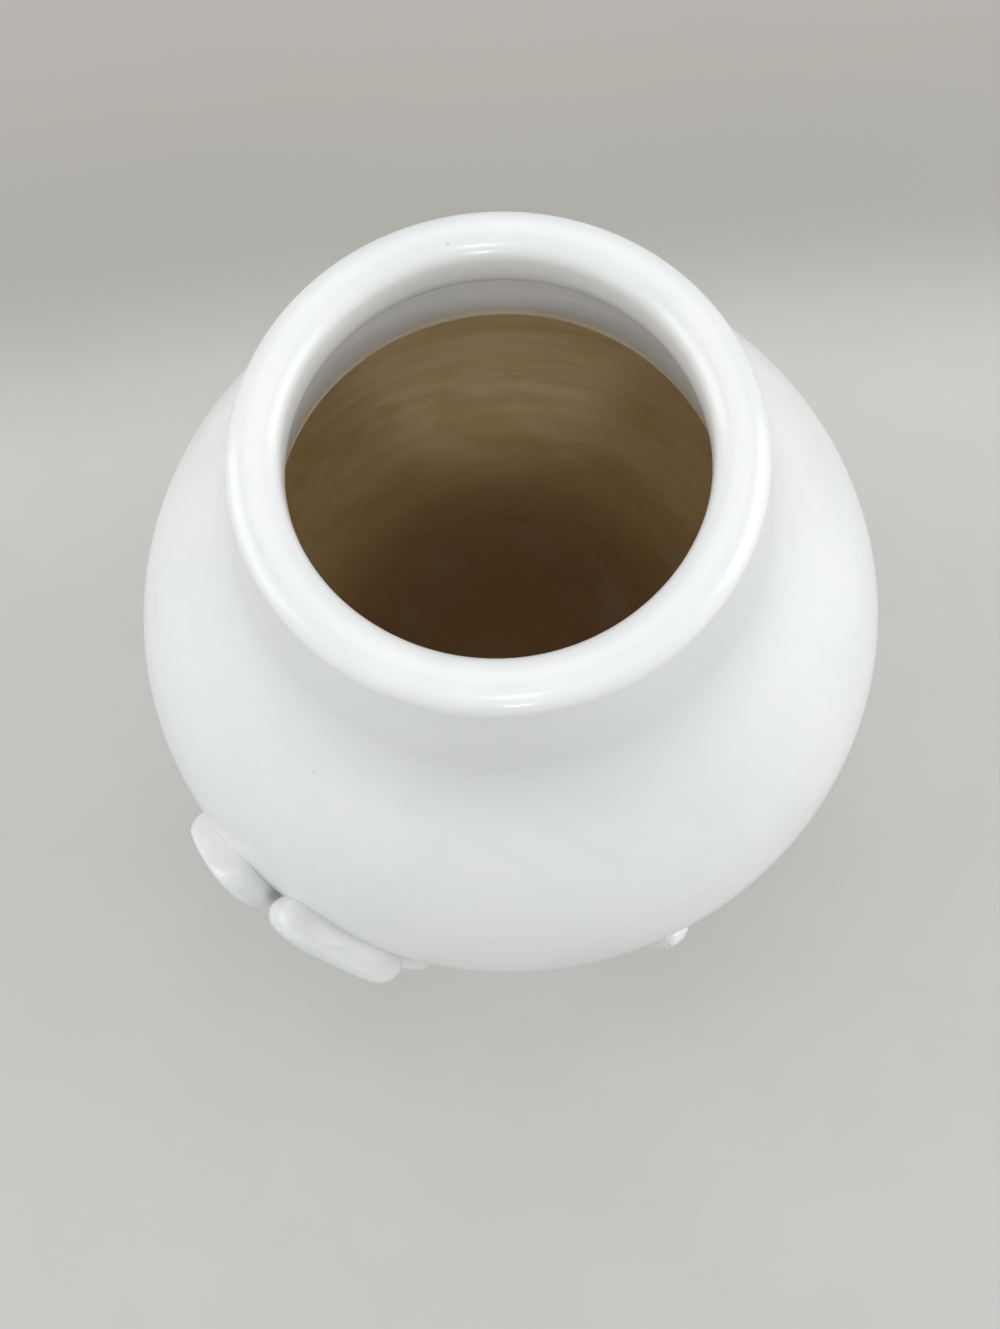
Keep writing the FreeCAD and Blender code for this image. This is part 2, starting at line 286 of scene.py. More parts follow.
def glazeMaterial(name, isJar):
    made, tree = newMaterial(name)
    place = placeNode(tree)
    values = glazeValues
    tone = mixNode(tree, bandNode(tree, place, values["cloud"]), values["light"], values["shade"])
    streak = bandNode(tree, place, values["streak"])
    # Warmer where the glaze is thin, and in the creases under the rim, where the warmth is painted shade
    warmth = mathNode(tree, "MULTIPLY", attributeNode(tree, "thinGlazeAndShade"), streak, clamp=True)
    tone = mixNode(tree, warmth, tone, values["warm"])
    fleck = mathNode(tree, "MULTIPLY", fleckNode(tree, place, values["flecks"]), values["fleckShare"])
    tone = mixNode(tree, fleck, tone, values["fleck"])
    spread = values["roughnessSpread"]
    gloss = scaledNode(tree, noiseNode(tree, place, values["sheen"]), spread, values["roughness"] - spread / 2)
    normal = roughNode(tree, place, values["peel"])
    pinhole = mathNode(tree, "SUBTRACT", 1.0, fleckNode(tree, place, values["pinholes"]))
    normal = bumpNode(tree, pinhole, values["pinholes"]["bump"], normal)
    if isJar:
        # Painted shade on the neck's outside, under the rim
        tone = paintedNeckShade(tree, place, tone)
        normal = roughNode(tree, place, values["throwing"], normal)
        normal = roughNode(tree, place, values["dents"], normal)
        tone, gloss, normal = insideLayer(tree, place, tone, gloss, normal)
    finishMaterial(tree, {"Base Color": tone, "Roughness": gloss, "IOR": glazeIor}, normal)
    return made


footValues = {
    "clay": (0.70, 0.575, 0.42),
    "dark": (0.56, 0.42, 0.27),
    "burnt": (0.60, 0.36, 0.18),
    "burntHeights": (1.4, 2.4),
    "glazedHeights": (2.4, 2.65),
    "edgeWander": 1.6,
    "clayRoughness": 0.8,
    "glazeRoughness": 0.28,
    "grain": {"noise": (320.0, 4.0, 0.65, 0.0), "band": (0.3, 0.7)},
    "edge": {"noise": (70.0, 2.0, 0.5, 0.0)},
    "pits": {"noise": (900.0, 3.0, 0.7, 0.0), "bump": (0.5, 0.12)},
}


# Bare clay at the bottom, glaze above it and a burnt line between them
def footMaterial():
    made, tree = newMaterial("bareFoot")
    values = footValues
    place = placeNode(tree)
    clay = mixNode(tree, bandNode(tree, place, values["grain"]), values["clay"], values["dark"])
    wandering = mathNode(tree, "MULTIPLY", noiseNode(tree, place, values["edge"]), values["edgeWander"] * mm)
    level = mathNode(tree, "ADD", partNode(tree, place, 2), wandering)
    glazed = heightRange(tree, level, values["glazedHeights"])
    bare = mathNode(tree, "SUBTRACT", 1.0, glazed)
    line = mathNode(tree, "MULTIPLY", heightRange(tree, level, values["burntHeights"]), bare)
    tone = mixNode(tree, line, clay, values["burnt"])
    tone = mixNode(tree, glazed, tone, glazeValues["shade"])
    matt = mixValue(tree, glazed, values["clayRoughness"], values["glazeRoughness"])
    normal = roughNode(tree, place, values["pits"])
    finishMaterial(tree, {"Base Color": tone, "Roughness": matt, "IOR": glazeIor}, normal)
    return made


def addObject(name, data):
    made = bpy.data.objects.new(name, data)
    scene.collection.objects.link(made)
    return made


def addMesh(name, mesh, material):
    data = bpy.data.meshes.new(name)
    mesh.to_mesh(data)
    mesh.free()
    data.materials.append(material)
    return addObject(name, data)


def addPiece(name, mesh, slot, *nodes):
    made = addMesh(name, mesh, slotMaterials[slot])
    made.data.shade_smooth()
    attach(made, "root")
    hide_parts(*nodes)


wall = {
    "bodyRadius": 60.0,
    "waistHeight": 57.5,
    "shoulderRise": 41.0,
    "bodyWall": 4.5,
    "footHeight": 4.5,
    "footRadius": 25.5,
    "shoulderStartShare": 0.584,
    "insideStartShare": 0.5,
}
footShare = wall["footRadius"] / wall["bodyRadius"]
lowerRise = (wall["waistHeight"] - wall["footHeight"]) / math.sqrt(1 - footShare**2)


def ellipsePoint(radius, rise, angle):
    return Vector((radius * math.cos(angle), wall["waistHeight"] + rise * math.sin(angle)))


def ellipseWay(radius, rise, angle):
    return Vector((-radius * math.sin(angle), rise * math.cos(angle))).normalized()


def ellipseRow(radius, rise, low, high, count):
    return [ellipsePoint(radius, rise, low + (high - low) * number / count) for number in range(count + 1)]


def bezierRow(first, firstPull, lastPull, last, count):
    row = []
    for number in range(count + 1):
        share = number / count
        rest = 1 - share
        row.append(
            first * rest**3 + firstPull * 3 * rest**2 * share + lastPull * 3 * rest * share**2 + last * share**3
        )
    return row


# Places between two ends, closer together near both
def lineRow(first, last, count):
    shares = [(1 - math.cos(math.pi * number / count)) / 2 for number in range(count + 1)]
    return [first + (last - first) * share for share in shares]


# A quarter of an ellipse, as a cubic curve whose pull towards the corner is the usual one
quarterPull = 0.5523


def roundRow(first, corner, last, count):
    pulls = [end + (corner - end) * quarterPull for end in (first, last)]
    return bezierRow(first, *pulls, last, count)


def joined(*rows):
    whole = list(rows[0])
    for row in rows[1:]:
        whole += row[1:]
    return whole


# A Vector is a place in the wall's section. The steps are how many parts each curve of it has, and
# a thin entry is how far from an edge the glaze is thin, and how thin it is there. The seat, under and
# inner entries are painted shade instead, warm and darker in the creases under the rim
jar = {
    "segments": 352,
    "undersideMiddle": 12.0,
    "floorHeight": 9.5,
    "floorFlatRadius": 17.0,
    "floorBlendHeight": 13.0,
    "neckBase": Vector((34.4, 97.9)),
    "neckLip": Vector((30.1, 95.6)),
    "neckLipRound": 2.6,
    "seatOutside": Vector((29.8, 110.2)),
    "seatInside": Vector((26.9, 107.5)),
    "rimOutside": 31.4,
    "rimInside": 24.85,
    "rimWidest": 113.4,
    "rimTop": 116.0,
    "shoulderPull": 0.55,
    "neckPull": 0.21,
    "insidePull": 0.42,
    "steps": {
        "underside": 5, "lowerOutside": 52, "upperOutside": 26, "shoulder": 34, "neckOutside": 14,
        "rimSide": 8, "rimTop": 9, "neckInside": 12, "lip": 8, "insideShoulder": 16,
        "upperInside": 12, "lowerInside": 26, "floorBlend": 12, "floor": 8,
    },
    # The seat, under and inner entries are painted shade in the creases under the rim
    "thinGlazeAndShade": {"seat": (2.2, 0.45), "under": (1.6, 0.6), "inner": (2.4, 0.2), "lip": (3.0, 0.6)},
    "thinClosest": 0.2,
    "crossing": 1.2,
    "crossingShare": 0.35,
    "insideReach": 2.4,
    "rimLine": {"height": 113.7, "width": 0.5, "margin": 1.0, "outer": 0.5, "inner": 0.2},
    "axisRadius": 0.5,
    "insideFrom": 0.9,
    "undersideMargin": 0.01,
    "floorMargin": 0.05,
    "insideInset": 0.2,
    "ringPitch": 4.3,
    "ringDepth": 0.17,
    "ringWander": 1.3,
    "ringVaries": 0.4,
    "ringFade": 8.0,
    "swirlDepth": 0.12,
    "swirlRadii": (0.5, 6.0),
    "wallInset": 0.17,
    "wallWander": 0.13,
    "footFade": 6.0,
    "seamDepth": 0.16,
    "seamWidth": 1.6,
    "neckInset": 0.12,
    "neckWander": 0.10,
    "neckInsetRadii": (27.4, 29.0),
    "neckFade": (-7.0, 3.0),
    "dropHeights": (100.0, 112.0),
}


def outsideRows():
    steps, radius, rise = jar["steps"], wall["bodyRadius"], wall["shoulderRise"]
    footAngle, shoulderAngle = -math.acos(footShare), math.asin(wall["shoulderStartShare"])
    base, seat = jar["neckBase"], jar["seatOutside"]
    start = ellipsePoint(radius, rise, shoulderAngle)
    span = (base - start).length
    leave = ellipseWay(radius, rise, shoulderAngle) * span * jar["shoulderPull"]
    arrive = (seat - base).normalized() * span * jar["neckPull"]
    underside = [Vector((0, wall["footHeight"])), Vector((jar["undersideMiddle"], wall["footHeight"]))]
    return joined(
        underside,
        lineRow(underside[-1], Vector((wall["footRadius"], wall["footHeight"])), steps["underside"]),
        ellipseRow(radius, lowerRise, footAngle, 0, steps["lowerOutside"]),
        ellipseRow(radius, rise, 0, shoulderAngle, steps["upperOutside"]),
        bezierRow(start, start + leave, base - arrive, base, steps["shoulder"]),
        lineRow(base, seat, steps["neckOutside"]),
    )


def rimRows():
    steps = jar["steps"]
    outside, inside, widest, top = jar["rimOutside"], jar["rimInside"], jar["rimWidest"], jar["rimTop"]
    crest = Vector(((outside + inside) / 2, top))
    seat, innerSeat = jar["seatOutside"], jar["seatInside"]
    wide, deep = Vector((outside, widest)), Vector((inside, widest))
    return joined(
        roundRow(seat, Vector((outside, seat.y)), wide, steps["rimSide"]),
        roundRow(wide, Vector((outside, top)), crest, steps["rimTop"]),
        roundRow(crest, Vector((inside, top)), deep, steps["rimTop"]),
        roundRow(deep, Vector((inside, innerSeat.y)), innerSeat, steps["rimSide"]),
        lineRow(innerSeat, jar["neckLip"], steps["neckInside"]),
    )


def insideRows():
    steps = jar["steps"]
    radius = wall["bodyRadius"] - wall["bodyWall"]
    rise, low = wall["shoulderRise"] - wall["bodyWall"], lowerRise - wall["bodyWall"]
    angle = math.asin(wall["insideStartShare"])
    lip = jar["neckLip"]
    corner = lip - Vector((0, jar["neckLipRound"]))
    end = corner + Vector((jar["neckLipRound"], 0))
    start = ellipsePoint(radius, rise, angle)
    leave = ellipseWay(radius, rise, angle)
    pull = (end - start).length * jar["insidePull"]
    way = (end - start).normalized()
    floorAngle = -math.asin((wall["waistHeight"] - jar["floorHeight"] - jar["floorBlendHeight"]) / low)
    blend = ellipsePoint(radius, low, floorAngle)
    blendWay = ellipseWay(radius, low, floorAngle)
    flat = Vector((jar["floorFlatRadius"], jar["floorHeight"]))
    floorPull = (blend - flat).length * jar["insidePull"]
    alongFloor = flat + Vector((floorPull, 0))
    return joined(
        roundRow(lip, corner, end, steps["lip"]),
        bezierRow(end, end - way * pull, start + leave * pull, start, steps["insideShoulder"]),
        ellipseRow(radius, rise, angle, 0, steps["upperInside"]),
        ellipseRow(radius, low, 0, floorAngle, steps["lowerInside"]),
        bezierRow(blend, blend - blendWay * floorPull, alongFloor, flat, steps["floorBlend"]),
        lineRow(flat, Vector((0, jar["floorHeight"])), steps["floor"]),
    )


mergeDistance = 0.001


# A section spun about the jar's axis, with two values kept on its points
def turned(rows, segments):
    mesh = bmesh.new()
    inside = mesh.verts.layers.float.new("inside")
    thinGlazeAndShade = mesh.verts.layers.float.new("thinGlazeAndShade")
    previous = None
    for point, insideShare, thinShare in rows:
        made = mesh.verts.new((point.x * mm, 0, point.y * mm))
        made[inside], made[thinGlazeAndShade] = insideShare, thinShare
        if previous:
            mesh.edges.new((previous, made))
        previous = made
    bmesh.ops.spin(
        mesh,
        geom=mesh.verts[:] + mesh.edges[:],
        axis=(0, 0, 1),
        cent=(0, 0, 0),
        steps=segments,
        angle=fullTurn,
        use_merge=True,
        use_duplicate=False,
    )
    bmesh.ops.remove_doubles(mesh, verts=mesh.verts[:], dist=mergeDistance * mm)
    bmesh.ops.recalc_face_normals(mesh, faces=mesh.faces[:])
    return mesh, inside


# Size, waves round the jar, phase, and the shares of the seed and of the height in each phase
wanderWaves = [
    (0.42, 2, 0.7, 1.0, 0.0),
    (0.27, 3, 0.0, 2.1, 0.02),
    (0.18, 5, 0.0, 1.0, -0.06),
    (0.13, 1, 0.0, 0.0, 0.11),
]
wanderSeeds = {"wall": 1.0, "rings": 2.0, "neck": 3.0, "ringDepth": 4.0, "rim": 5.0}


# The slow unevenness that a hand-thrown wall keeps, between -1 and 1
def wander(azimuth, height, name):
    seed = wanderSeeds[name]
    return sum(
        size * math.sin(waves * azimuth + phase + seedShare * seed + heightShare * height)
        for size, waves, phase, seedShare, heightShare in wanderWaves
    )


def thinNear(point, edge, name):
    reach, share = jar["thinGlazeAndShade"][name]
    return share * ease(reach, jar["thinClosest"], (edge - point).length)


# The thin line at the rim's widest places, outside and in
def rimLine(point):
    values = jar["rimLine"]
    isOuter = point.x > jar["rimOutside"] - values["margin"]
    isInner = point.x < jar["rimInside"] + values["margin"]
    share = values["outer"] if isOuter else values["inner"] if isInner else 0.0
    return share * bell(point.y - values["height"], values["width"])


# Each place of the jar's section, its share of bare inside and how thin its glaze is, with painted shade in the
# creases under the rim
def jarRows():
    crossing = jar["crossingShare"]
    # The seat entry is painted shade in the crease under the rim
    rows = [(point, 0.0, thinNear(point, jar["seatOutside"], "seat")) for point in outsideRows()]
    for point in rimRows()[1:]:
        crossed = ease(jar["crossing"], 0.0, (jar["neckLip"] - point).length)
        # Painted shade on the rim's underside, in both creases under it
        edges = thinNear(point, jar["seatOutside"], "under") + thinNear(point, jar["seatInside"], "inner")
        thinGlazeAndShade = edges + thinNear(point, jar["neckLip"], "lip") + rimLine(point)
        rows.append((point, crossing * crossed, thinGlazeAndShade))
    for point in insideRows()[1:]:
        below = ease(0.0, jar["insideReach"], (jar["neckLip"] - point).length)
        rows.append((point, crossing + (1 - crossing) * below, thinNear(point, jar["neckLip"], "lip")))
    return rows


def pushOut(vert, radius, shift):
    x, y = vert.co.x, vert.co.y
    vert.co.x, vert.co.y = x * (radius + shift) / radius, y * (radius + shift) / radius


# The throwing rings on the inside, and a swirl on the flat of the floor
def shiftInside(vert, radius, azimuth, height):
    if height > jar["floorHeight"] + jar["floorMargin"]:
        phase = fullTurn * height / jar["ringPitch"] + azimuth
        groove = math.sin(phase + jar["ringWander"] * wander(azimuth, height, "rings"))
        fade = ease(jar["floorHeight"], jar["floorHeight"] + jar["ringFade"], height)
        depth = 1 - jar["ringVaries"] + jar["ringVaries"] * wander(azimuth, height, "ringDepth")
        pushOut(vert, radius, jar["ringDepth"] * depth * groove * fade - jar["insideInset"])
    else:
        swirl = math.sin(fullTurn * radius / jar["ringPitch"] - azimuth)
        vert.co.z += jar["swirlDepth"] * mm * swirl * ease(*jar["swirlRadii"], radius)


# The seam at the waist and the wall's slow wander, which is less on the neck and the rim
def shiftOutside(vert, radius, azimuth, height):
    seam = jar["seamDepth"] * bell(height - wall["waistHeight"], jar["seamWidth"])
    low = ease(wall["footHeight"], wall["footHeight"] + jar["footFade"], height)
    shift = (jar["wallWander"] * wander(azimuth, height, "wall") - jar["wallInset"]) * low - seam
    inset = jar["neckInset"] * ease(*jar["neckInsetRadii"], radius)
    necked = jar["neckWander"] * wander(azimuth, 0.0, "neck") - inset
    fadeStart, fadeEnd = (jar["neckBase"].y + away for away in jar["neckFade"])
    shift += (necked - shift) * ease(fadeStart, fadeEnd, height)
    drop = jar["neckWander"] * wander(azimuth, 0.0, "rim") - jar["neckInset"]
    vert.co.z += drop * mm * ease(*jar["dropHeights"], height)
    pushOut(vert, radius, shift)


def makeJar():
    mesh, inside = turned(jarRows(), jar["segments"])
    for vert in mesh.verts:
        radius = math.hypot(vert.co.x, vert.co.y) / mm
        if radius < jar["axisRadius"]:
            continue
        azimuth, height = math.atan2(vert.co.y, vert.co.x), vert.co.z / mm
        if vert[inside] > jar["insideFrom"]:
            shiftInside(vert, radius, azimuth, height)
        elif height >= wall["footHeight"] + jar["undersideMargin"]:
            shiftOutside(vert, radius, azimuth, height)
    addPiece("jarShell", mesh, "white_glaze", "lower_bowl", "upper_bowl", "neck_collar", "rolled_rim")


foot = {
    "width": 5.0,
    "taper": 1.0,
    "edgeRound": 0.9,
    "segments": 240,
    "steps": {"top": 4, "outside": 10, "round": 5, "face": 6, "inside": 8},
    "shiftedHeights": (0.3, 4.2),
    "shrink": 0.0018,
    "shrinkWaves": 3,
    "shrinkWaveShare": 0.6,
    "shrinkNoiseScale": 160,
}


def makeFoot():
    innerRadius = wall["footRadius"] - foot["width"]
    topOutside = Vector((wall["footRadius"], wall["footHeight"]))
    topInside = Vector((innerRadius, wall["footHeight"]))
    outside = Vector((wall["footRadius"] - foot["taper"], 0))
    inside = Vector((innerRadius + foot["taper"] / 2, 0))
    along = Vector((foot["edgeRound"], 0))
    upOutside = outside + (topOutside - outside).normalized() * foot["edgeRound"]
    upInside = inside + (topInside - inside).normalized() * foot["edgeRound"]
    steps = foot["steps"]
    ring = joined(
        lineRow(topInside, topOutside, steps["top"]),
        lineRow(topOutside, upOutside, steps["outside"]),
        roundRow(upOutside, outside, outside - along, steps["round"]),
        lineRow(outside - along, inside + along, steps["face"]),
        roundRow(inside + along, inside, upInside, steps["round"]),
        lineRow(upInside, topInside, steps["inside"]),
    )
    mesh, _ = turned([(point, 0.0, 0.0) for point in ring], foot["segments"])
    lowest, highest = foot["shiftedHeights"]
    for vert in mesh.verts:
        if lowest < vert.co.z / mm < highest:
            azimuth = math.atan2(vert.co.y, vert.co.x)
            wave = foot["shrinkWaveShare"] * math.sin(foot["shrinkWaves"] * azimuth)
            grain = noise.noise(vert.co * foot["shrinkNoiseScale"])
            size = 1 - foot["shrink"] * (1 + wave + grain)
            vert.co.x, vert.co.y = vert.co.x * size, vert.co.y * size
    addPiece("footRing", mesh, "bare_foot", "foot_ring")


slotMaterials = {
    "white_glaze": glazeMaterial("jarGlaze", True),
    "relief_glaze": glazeMaterial("reliefGlaze", False),
    "bare_foot": footMaterial(),
}
printStage("materials")
makeJar()
makeFoot()
printStage("turned pieces")


spray = {"azimuth": math.radians(231.5), "middle": (0.0, -14.0)}
padValues = {"bed": 1.1, "bedTurn": 0.55, "tuck": 0.2, "tuckShares": (0.3, 1.0), "poleRadius": 1e-6}


# A place that stands proud of the wall, right of the blossom's middle and up from the waist
def onWall(right, up, proud):
    rise = wall["shoulderRise"] if up > 0 else lowerRise
    angle = up / rise
    base = ellipsePoint(wall["bodyRadius"], rise, angle)
    outward = Vector((math.cos(angle) / wall["bodyRadius"], math.sin(angle) / rise)).normalized()
    point = base + outward * proud
    azimuth = spray["azimuth"] + right / wall["bodyRadius"]
    return Vector((point.x * math.cos(azimuth), point.x * math.sin(azimuth), point.y)) * mm


def stepped(place, angle, distance):
    return (place[0] + distance * math.cos(angle), place[1] + distance * math.sin(angle))


def newBall(segments):
    along, around = segments
    mesh = bmesh.new()
    bmesh.ops.create_uvsphere(mesh, u_segments=around, v_segments=along, radius=1.0)
    return mesh, mesh.verts.layers.float.new("thinGlazeAndShade")


# A closed pad of clay. line(share) gives its middle and heading, width(share) its half width, and
# top(share, side) how high it stands, with side from -1 to 1 across it, and how thin its glaze is
def makePad(name, node, line, width, top, segments):
    mesh, thinGlazeAndShade = newBall(segments)
    for vert in mesh.verts:
        flat = math.hypot(vert.co.x, vert.co.y)
        isPole = flat <= padValues["poleRadius"]
        share = min(max((1 - vert.co.z) / 2, 0.0), 1.0)
        side = 0.0 if isPole else vert.co.x / flat
        under = 0.0 if isPole else max(-vert.co.y / flat, 0.0)
        middle, angle = line(share)
        half = width(share)
        high, thinShare = top(share, side)
        if under > 0:
            turn = math.sin(math.pi / 2 * min(under / padValues["bedTurn"], 1.0))
            high += (-padValues["bed"] - high) * turn
            side *= 1 - padValues["tuck"] * ease(*padValues["tuckShares"], under)
        right, up = stepped(middle, angle - math.pi / 2, side * half)
        vert.co = onWall(right, up, high)
        vert[thinGlazeAndShade] = thinShare
    bmesh.ops.recalc_face_normals(mesh, faces=mesh.faces[:])
    addPiece(name, mesh, "relief_glaze", node)


acrossValues = {"rimAt": 0.84, "turn": 0.64, "edge": 0.35, "power": 2.4}


# The height across a pad, from its rims' and its crown's
def acrossPad(rim, crown, side):
    out = abs(side)
    past = max(0.0, (out - acrossValues["turn"]) / (1 - acrossValues["turn"]))
    roll = acrossValues["edge"] + (1 - acrossValues["edge"]) * math.sqrt(max(1 - past * past, 0.0))
    return (crown + (rim - crown) * min(out / acrossValues["rimAt"], 1.0) ** acrossValues["power"]) * roll


# The two petals at the notch are fuller and longer than the others. The tables run along a petal,
# with widths in shares of the half width that would touch the next petal
petalPlaces = (0.07, 0.14, 0.32, 0.52, 0.72, 0.87, 0.93, 0.965, 0.99, 1.0)
petalRisePlaces = petalPlaces[:6] + petalPlaces[7:]
petalValues = {
    "count": 5,
    "firstAngle": math.radians(60.0),
    "length": 22.5,
    "rimRise": 4.5,
    "rootRise": 1.9,
    "dish": 1.8,
    "rootShare": 0.07,
    "widths": tableOf(petalPlaces, 0.0, 0.108, 0.28, 0.47, 0.617, 0.585, 0.51, 0.41, 0.25, 0.0),
    "fullWidths": tableOf(petalPlaces, 0.0, 0.108, 0.28, 0.47, 0.672, 0.66, 0.60, 0.51, 0.33, 0.0),
    "fullPetals": (0, 1),
    "fullReach": 0.05,
    "reachFrom": 0.6,
    "rises": tableOf(petalRisePlaces, -0.35, 0.45, 0.62, 0.82, 1.0, 1.0, 0.92, 0.72, 0.30),
    "fullness": 0.985,
    "edgeWave": {"size": 0.012, "along": 14, "step": 1.9},
    "curl": (0.62, 0.86),
    "curlDish": 0.8,
    "tipLifts": [0.45, 0.10, 0.4, 0.3, 0.0],
    "tipLiftPower": 4,
    "tipFade": (1.02, 0.93),
    "notchSides": [-1, 1, 0, 0, 0],
    "notchLift": 0.25,
    "notchFade": (0.1, 0.9),
    "shySides": [0, 0, 0, 0, -1],
    "shyShare": 0.3,
    "shyFade": (0.0, 0.8),
    "fanFrom": 0.2,
    "openFades": [(0.2, 0.45), (1.0, 0.8)],
    "openSideFade": (1.0, 0.75),
    "veinDepth": 0.13,
    "veinWaves": 8.5,
    "veinPower": 5,
    "ruffle": {"size": 0.08, "across": 9, "step": 2.3, "along": 5},
    "thinSide": (0.07, 0.7, 0.95),
    "thinTip": (0.05, 0.93, 1.0),
    "segments": (110, 96),
}


def makePetal(number):
    values = petalValues
    angle = values["firstAngle"] + number * fullTurn / values["count"]
    halfWidth = values["length"] * math.tan(math.pi / values["count"])
    isFull = number in values["fullPetals"]
    widths = values["fullWidths"] if isFull else values["widths"]
    wave, ruffle = values["edgeWave"], values["ruffle"]

    def lengthShare(share):
        return values["rootShare"] + (1 - values["rootShare"]) * share

    def line(share):
        out = lengthShare(share)
        reach = values["fullReach"] * ease(values["reachFrom"], 1.0, out) if isFull else 0.0
        return stepped(spray["middle"], angle, values["length"] * (out + reach)), angle

    def width(share):
        out = lengthShare(share)
        wavy = 1 + wave["size"] * math.sin(wave["along"] * out + wave["step"] * number)
        return halfWidth * curveAt(widths, out) * wavy

    def top(share, side):
        out = lengthShare(share)
        rim = values["rimRise"] * curveAt(values["rises"], out)
        widthShare = curveAt(widths, out)
        curl = ease(*values["curl"], out)
        dish = values["dish"] * widthShare * (1 - values["curlDish"] * curl)
        crown = max(rim - dish, min(values["rootRise"], rim))
        high = acrossPad(rim, crown, side)
        tipLift = values["tipLifts"][number] * (1 - side ** values["tipLiftPower"])
        high += tipLift * curl * ease(*values["tipFade"], out)
        notchShare, shyShare = side * values["notchSides"][number], side * values["shySides"][number]
        high += values["notchLift"] * curl * ease(*values["notchFade"], notchShare)
        high *= 1 - values["shyShare"] * ease(*values["shyFade"], shyShare)
        fan = side * widthShare / max(out, values["fanFrom"])
        open = between(values["openFades"], out) * ease(*values["openSideFade"], abs(side))
        vein = ridge(fullTurn * fan * values["veinWaves"], values["veinPower"]) * values["veinDepth"] * open
        folding = math.sin(ruffle["across"] * fan + ruffle["step"] * number + ruffle["along"] * out)
        fold = ruffle["size"] * folding * open
        sideShare, *sideEnds = values["thinSide"]
        tipShare, *tipEnds = values["thinTip"]
        thinShare = sideShare * ease(*sideEnds, abs(side)) + tipShare * ease(*tipEnds, out)
        return values["fullness"] * high - vein + fold, thinShare

    makePad(f"petal{number + 1}", f"petal_{number + 1}", line, width, top, values["segments"])


leafPlaces = (0.0, 0.08, 0.25, 0.45, 0.66, 0.85, 0.95, 1.0)
leafValues = {
    "length": 13.5,
    "halfWidth": 3.9,
    "rise": 2.7,
    "bow": 1.5,
    "rimShare": 0.62,
    "widths": tableOf(leafPlaces, 0.0, 0.30, 0.78, 1.0, 0.80, 0.42, 0.17, 0.0),
    "rises": tableOf(leafPlaces, -0.4, 0.55, 0.86, 1.0, 0.87, 0.62, 0.46, -0.4),
    "teeth": 9.5,
    "toothDepth": 0.05,
    "rib": {"height": 0.34, "width": 0.07, "fade": (1.0, 0.8)},
    "trough": {"depth": 0.3, "place": 0.2, "width": 0.12},
    "vein": {"depth": 0.16, "count": 8.0, "slant": 1.9, "width": 0.13, "fades": [(0.1, 0.25), (1, 0.8)]},
    "fades": [(0.0, 0.12), (1.0, 0.9)],
    "thinEdge": 0.14,
    "thinPower": 3,
    "segments": (96, 80),
}


def makeLeaf(number, base, angle, bowSide):
    values = leafValues
    bow = values["bow"] * bowSide
    rib, trough, vein = values["rib"], values["trough"], values["vein"]

    def line(share):
        straight = stepped(base, angle, values["length"] * share)
        middle = stepped(straight, angle + math.pi / 2, bow * math.sin(math.pi * share))
        turn = math.atan2(bow * math.pi * math.cos(math.pi * share), values["length"])
        return middle, angle + turn

    def width(share):
        tooth = abs(math.sin(values["teeth"] * math.pi * share)) * values["toothDepth"]
        return values["halfWidth"] * curveAt(values["widths"], share) * (1 - tooth)

    def top(share, side):
        out = abs(side)
        crown = values["rise"] * curveAt(values["rises"], share)
        high = acrossPad(crown * values["rimShare"], crown, side)
        ribHeight = rib["height"] * bell(side, rib["width"]) * ease(*rib["fade"], share)
        troughDepth = trough["depth"] * bell(out - trough["place"], trough["width"])
        phase = (share * vein["count"] - out * vein["slant"]) % 1.0
        veinDepth = vein["depth"] * bell(phase - 0.5, vein["width"]) * between(vein["fades"], out)
        high += (ribHeight - troughDepth - veinDepth) * between(values["fades"], share)
        return high, values["thinEdge"] * out ** values["thinPower"]

    makePad(f"leaf{number}", f"leaf_{number}", line, width, top, values["segments"])


branchValues = {
    "length": 58.0,
    "halfWidth": 1.8,
    "rootAngle": math.radians(316.0),
    "rootShare": 0.80,
    "route": [
        (1.0, -0.145),
        (0.94, -0.078),
        (0.81, 0.0),
        (0.63, 0.018),
        (0.44, -0.015),
        (0.28, -0.055),
        (0.145, -0.048),
        (0.057, -0.005),
        (-0.015, 0.05),
    ],
    "leaves": [(4, math.radians(122.0), 1), (5, math.radians(-40.0), -1), (2, math.radians(35.0), -1)],
    "knots": [(0.19, 0.35), (0.37, 0.3), (0.56, 0.35), (0.72, 0.45), (0.88, 0.3)],
    "segments": (320, 48),
}
twigValues = {
    "length": 15.0,
    "halfWidth": 1.2,
    "fork": 2,
    "route": [(0.0, 0.0), (0.05, 0.22), (0.16, 0.48), (0.21, 0.76), (0.20, 1.0)],
    "knots": [(0.45, 0.2)],
    "segments": (120, 48),
}
stemValues = {
    "crownShare": 1.4,
    "rimShare": 0.9,
    "headingStep": 0.01,
    "roundStart": 0.09,
    "roundEnd": 0.06,
    "knotWidth": 0.02,
    "knotSpread": 0.3,
    "knotHeight": 0.6,
    "ripple": 0.04,
    "rippleWaves": 31,
    "fades": [(0.0, 0.07), (1.0, 0.95)],
    "sunk": 0.6,
    "bark": {"size": 0.10, "waves": [(9, 40), (3, 60)]},
    "groove": {"depth": 0.14, "across": 13, "turn": 4, "along": 17, "power": 3},
    "thinCrown": 0.1,
}


def routePlaces(start, length, shares):
    return [(start[0] + length * right, start[1] + length * up) for right, up in shares]


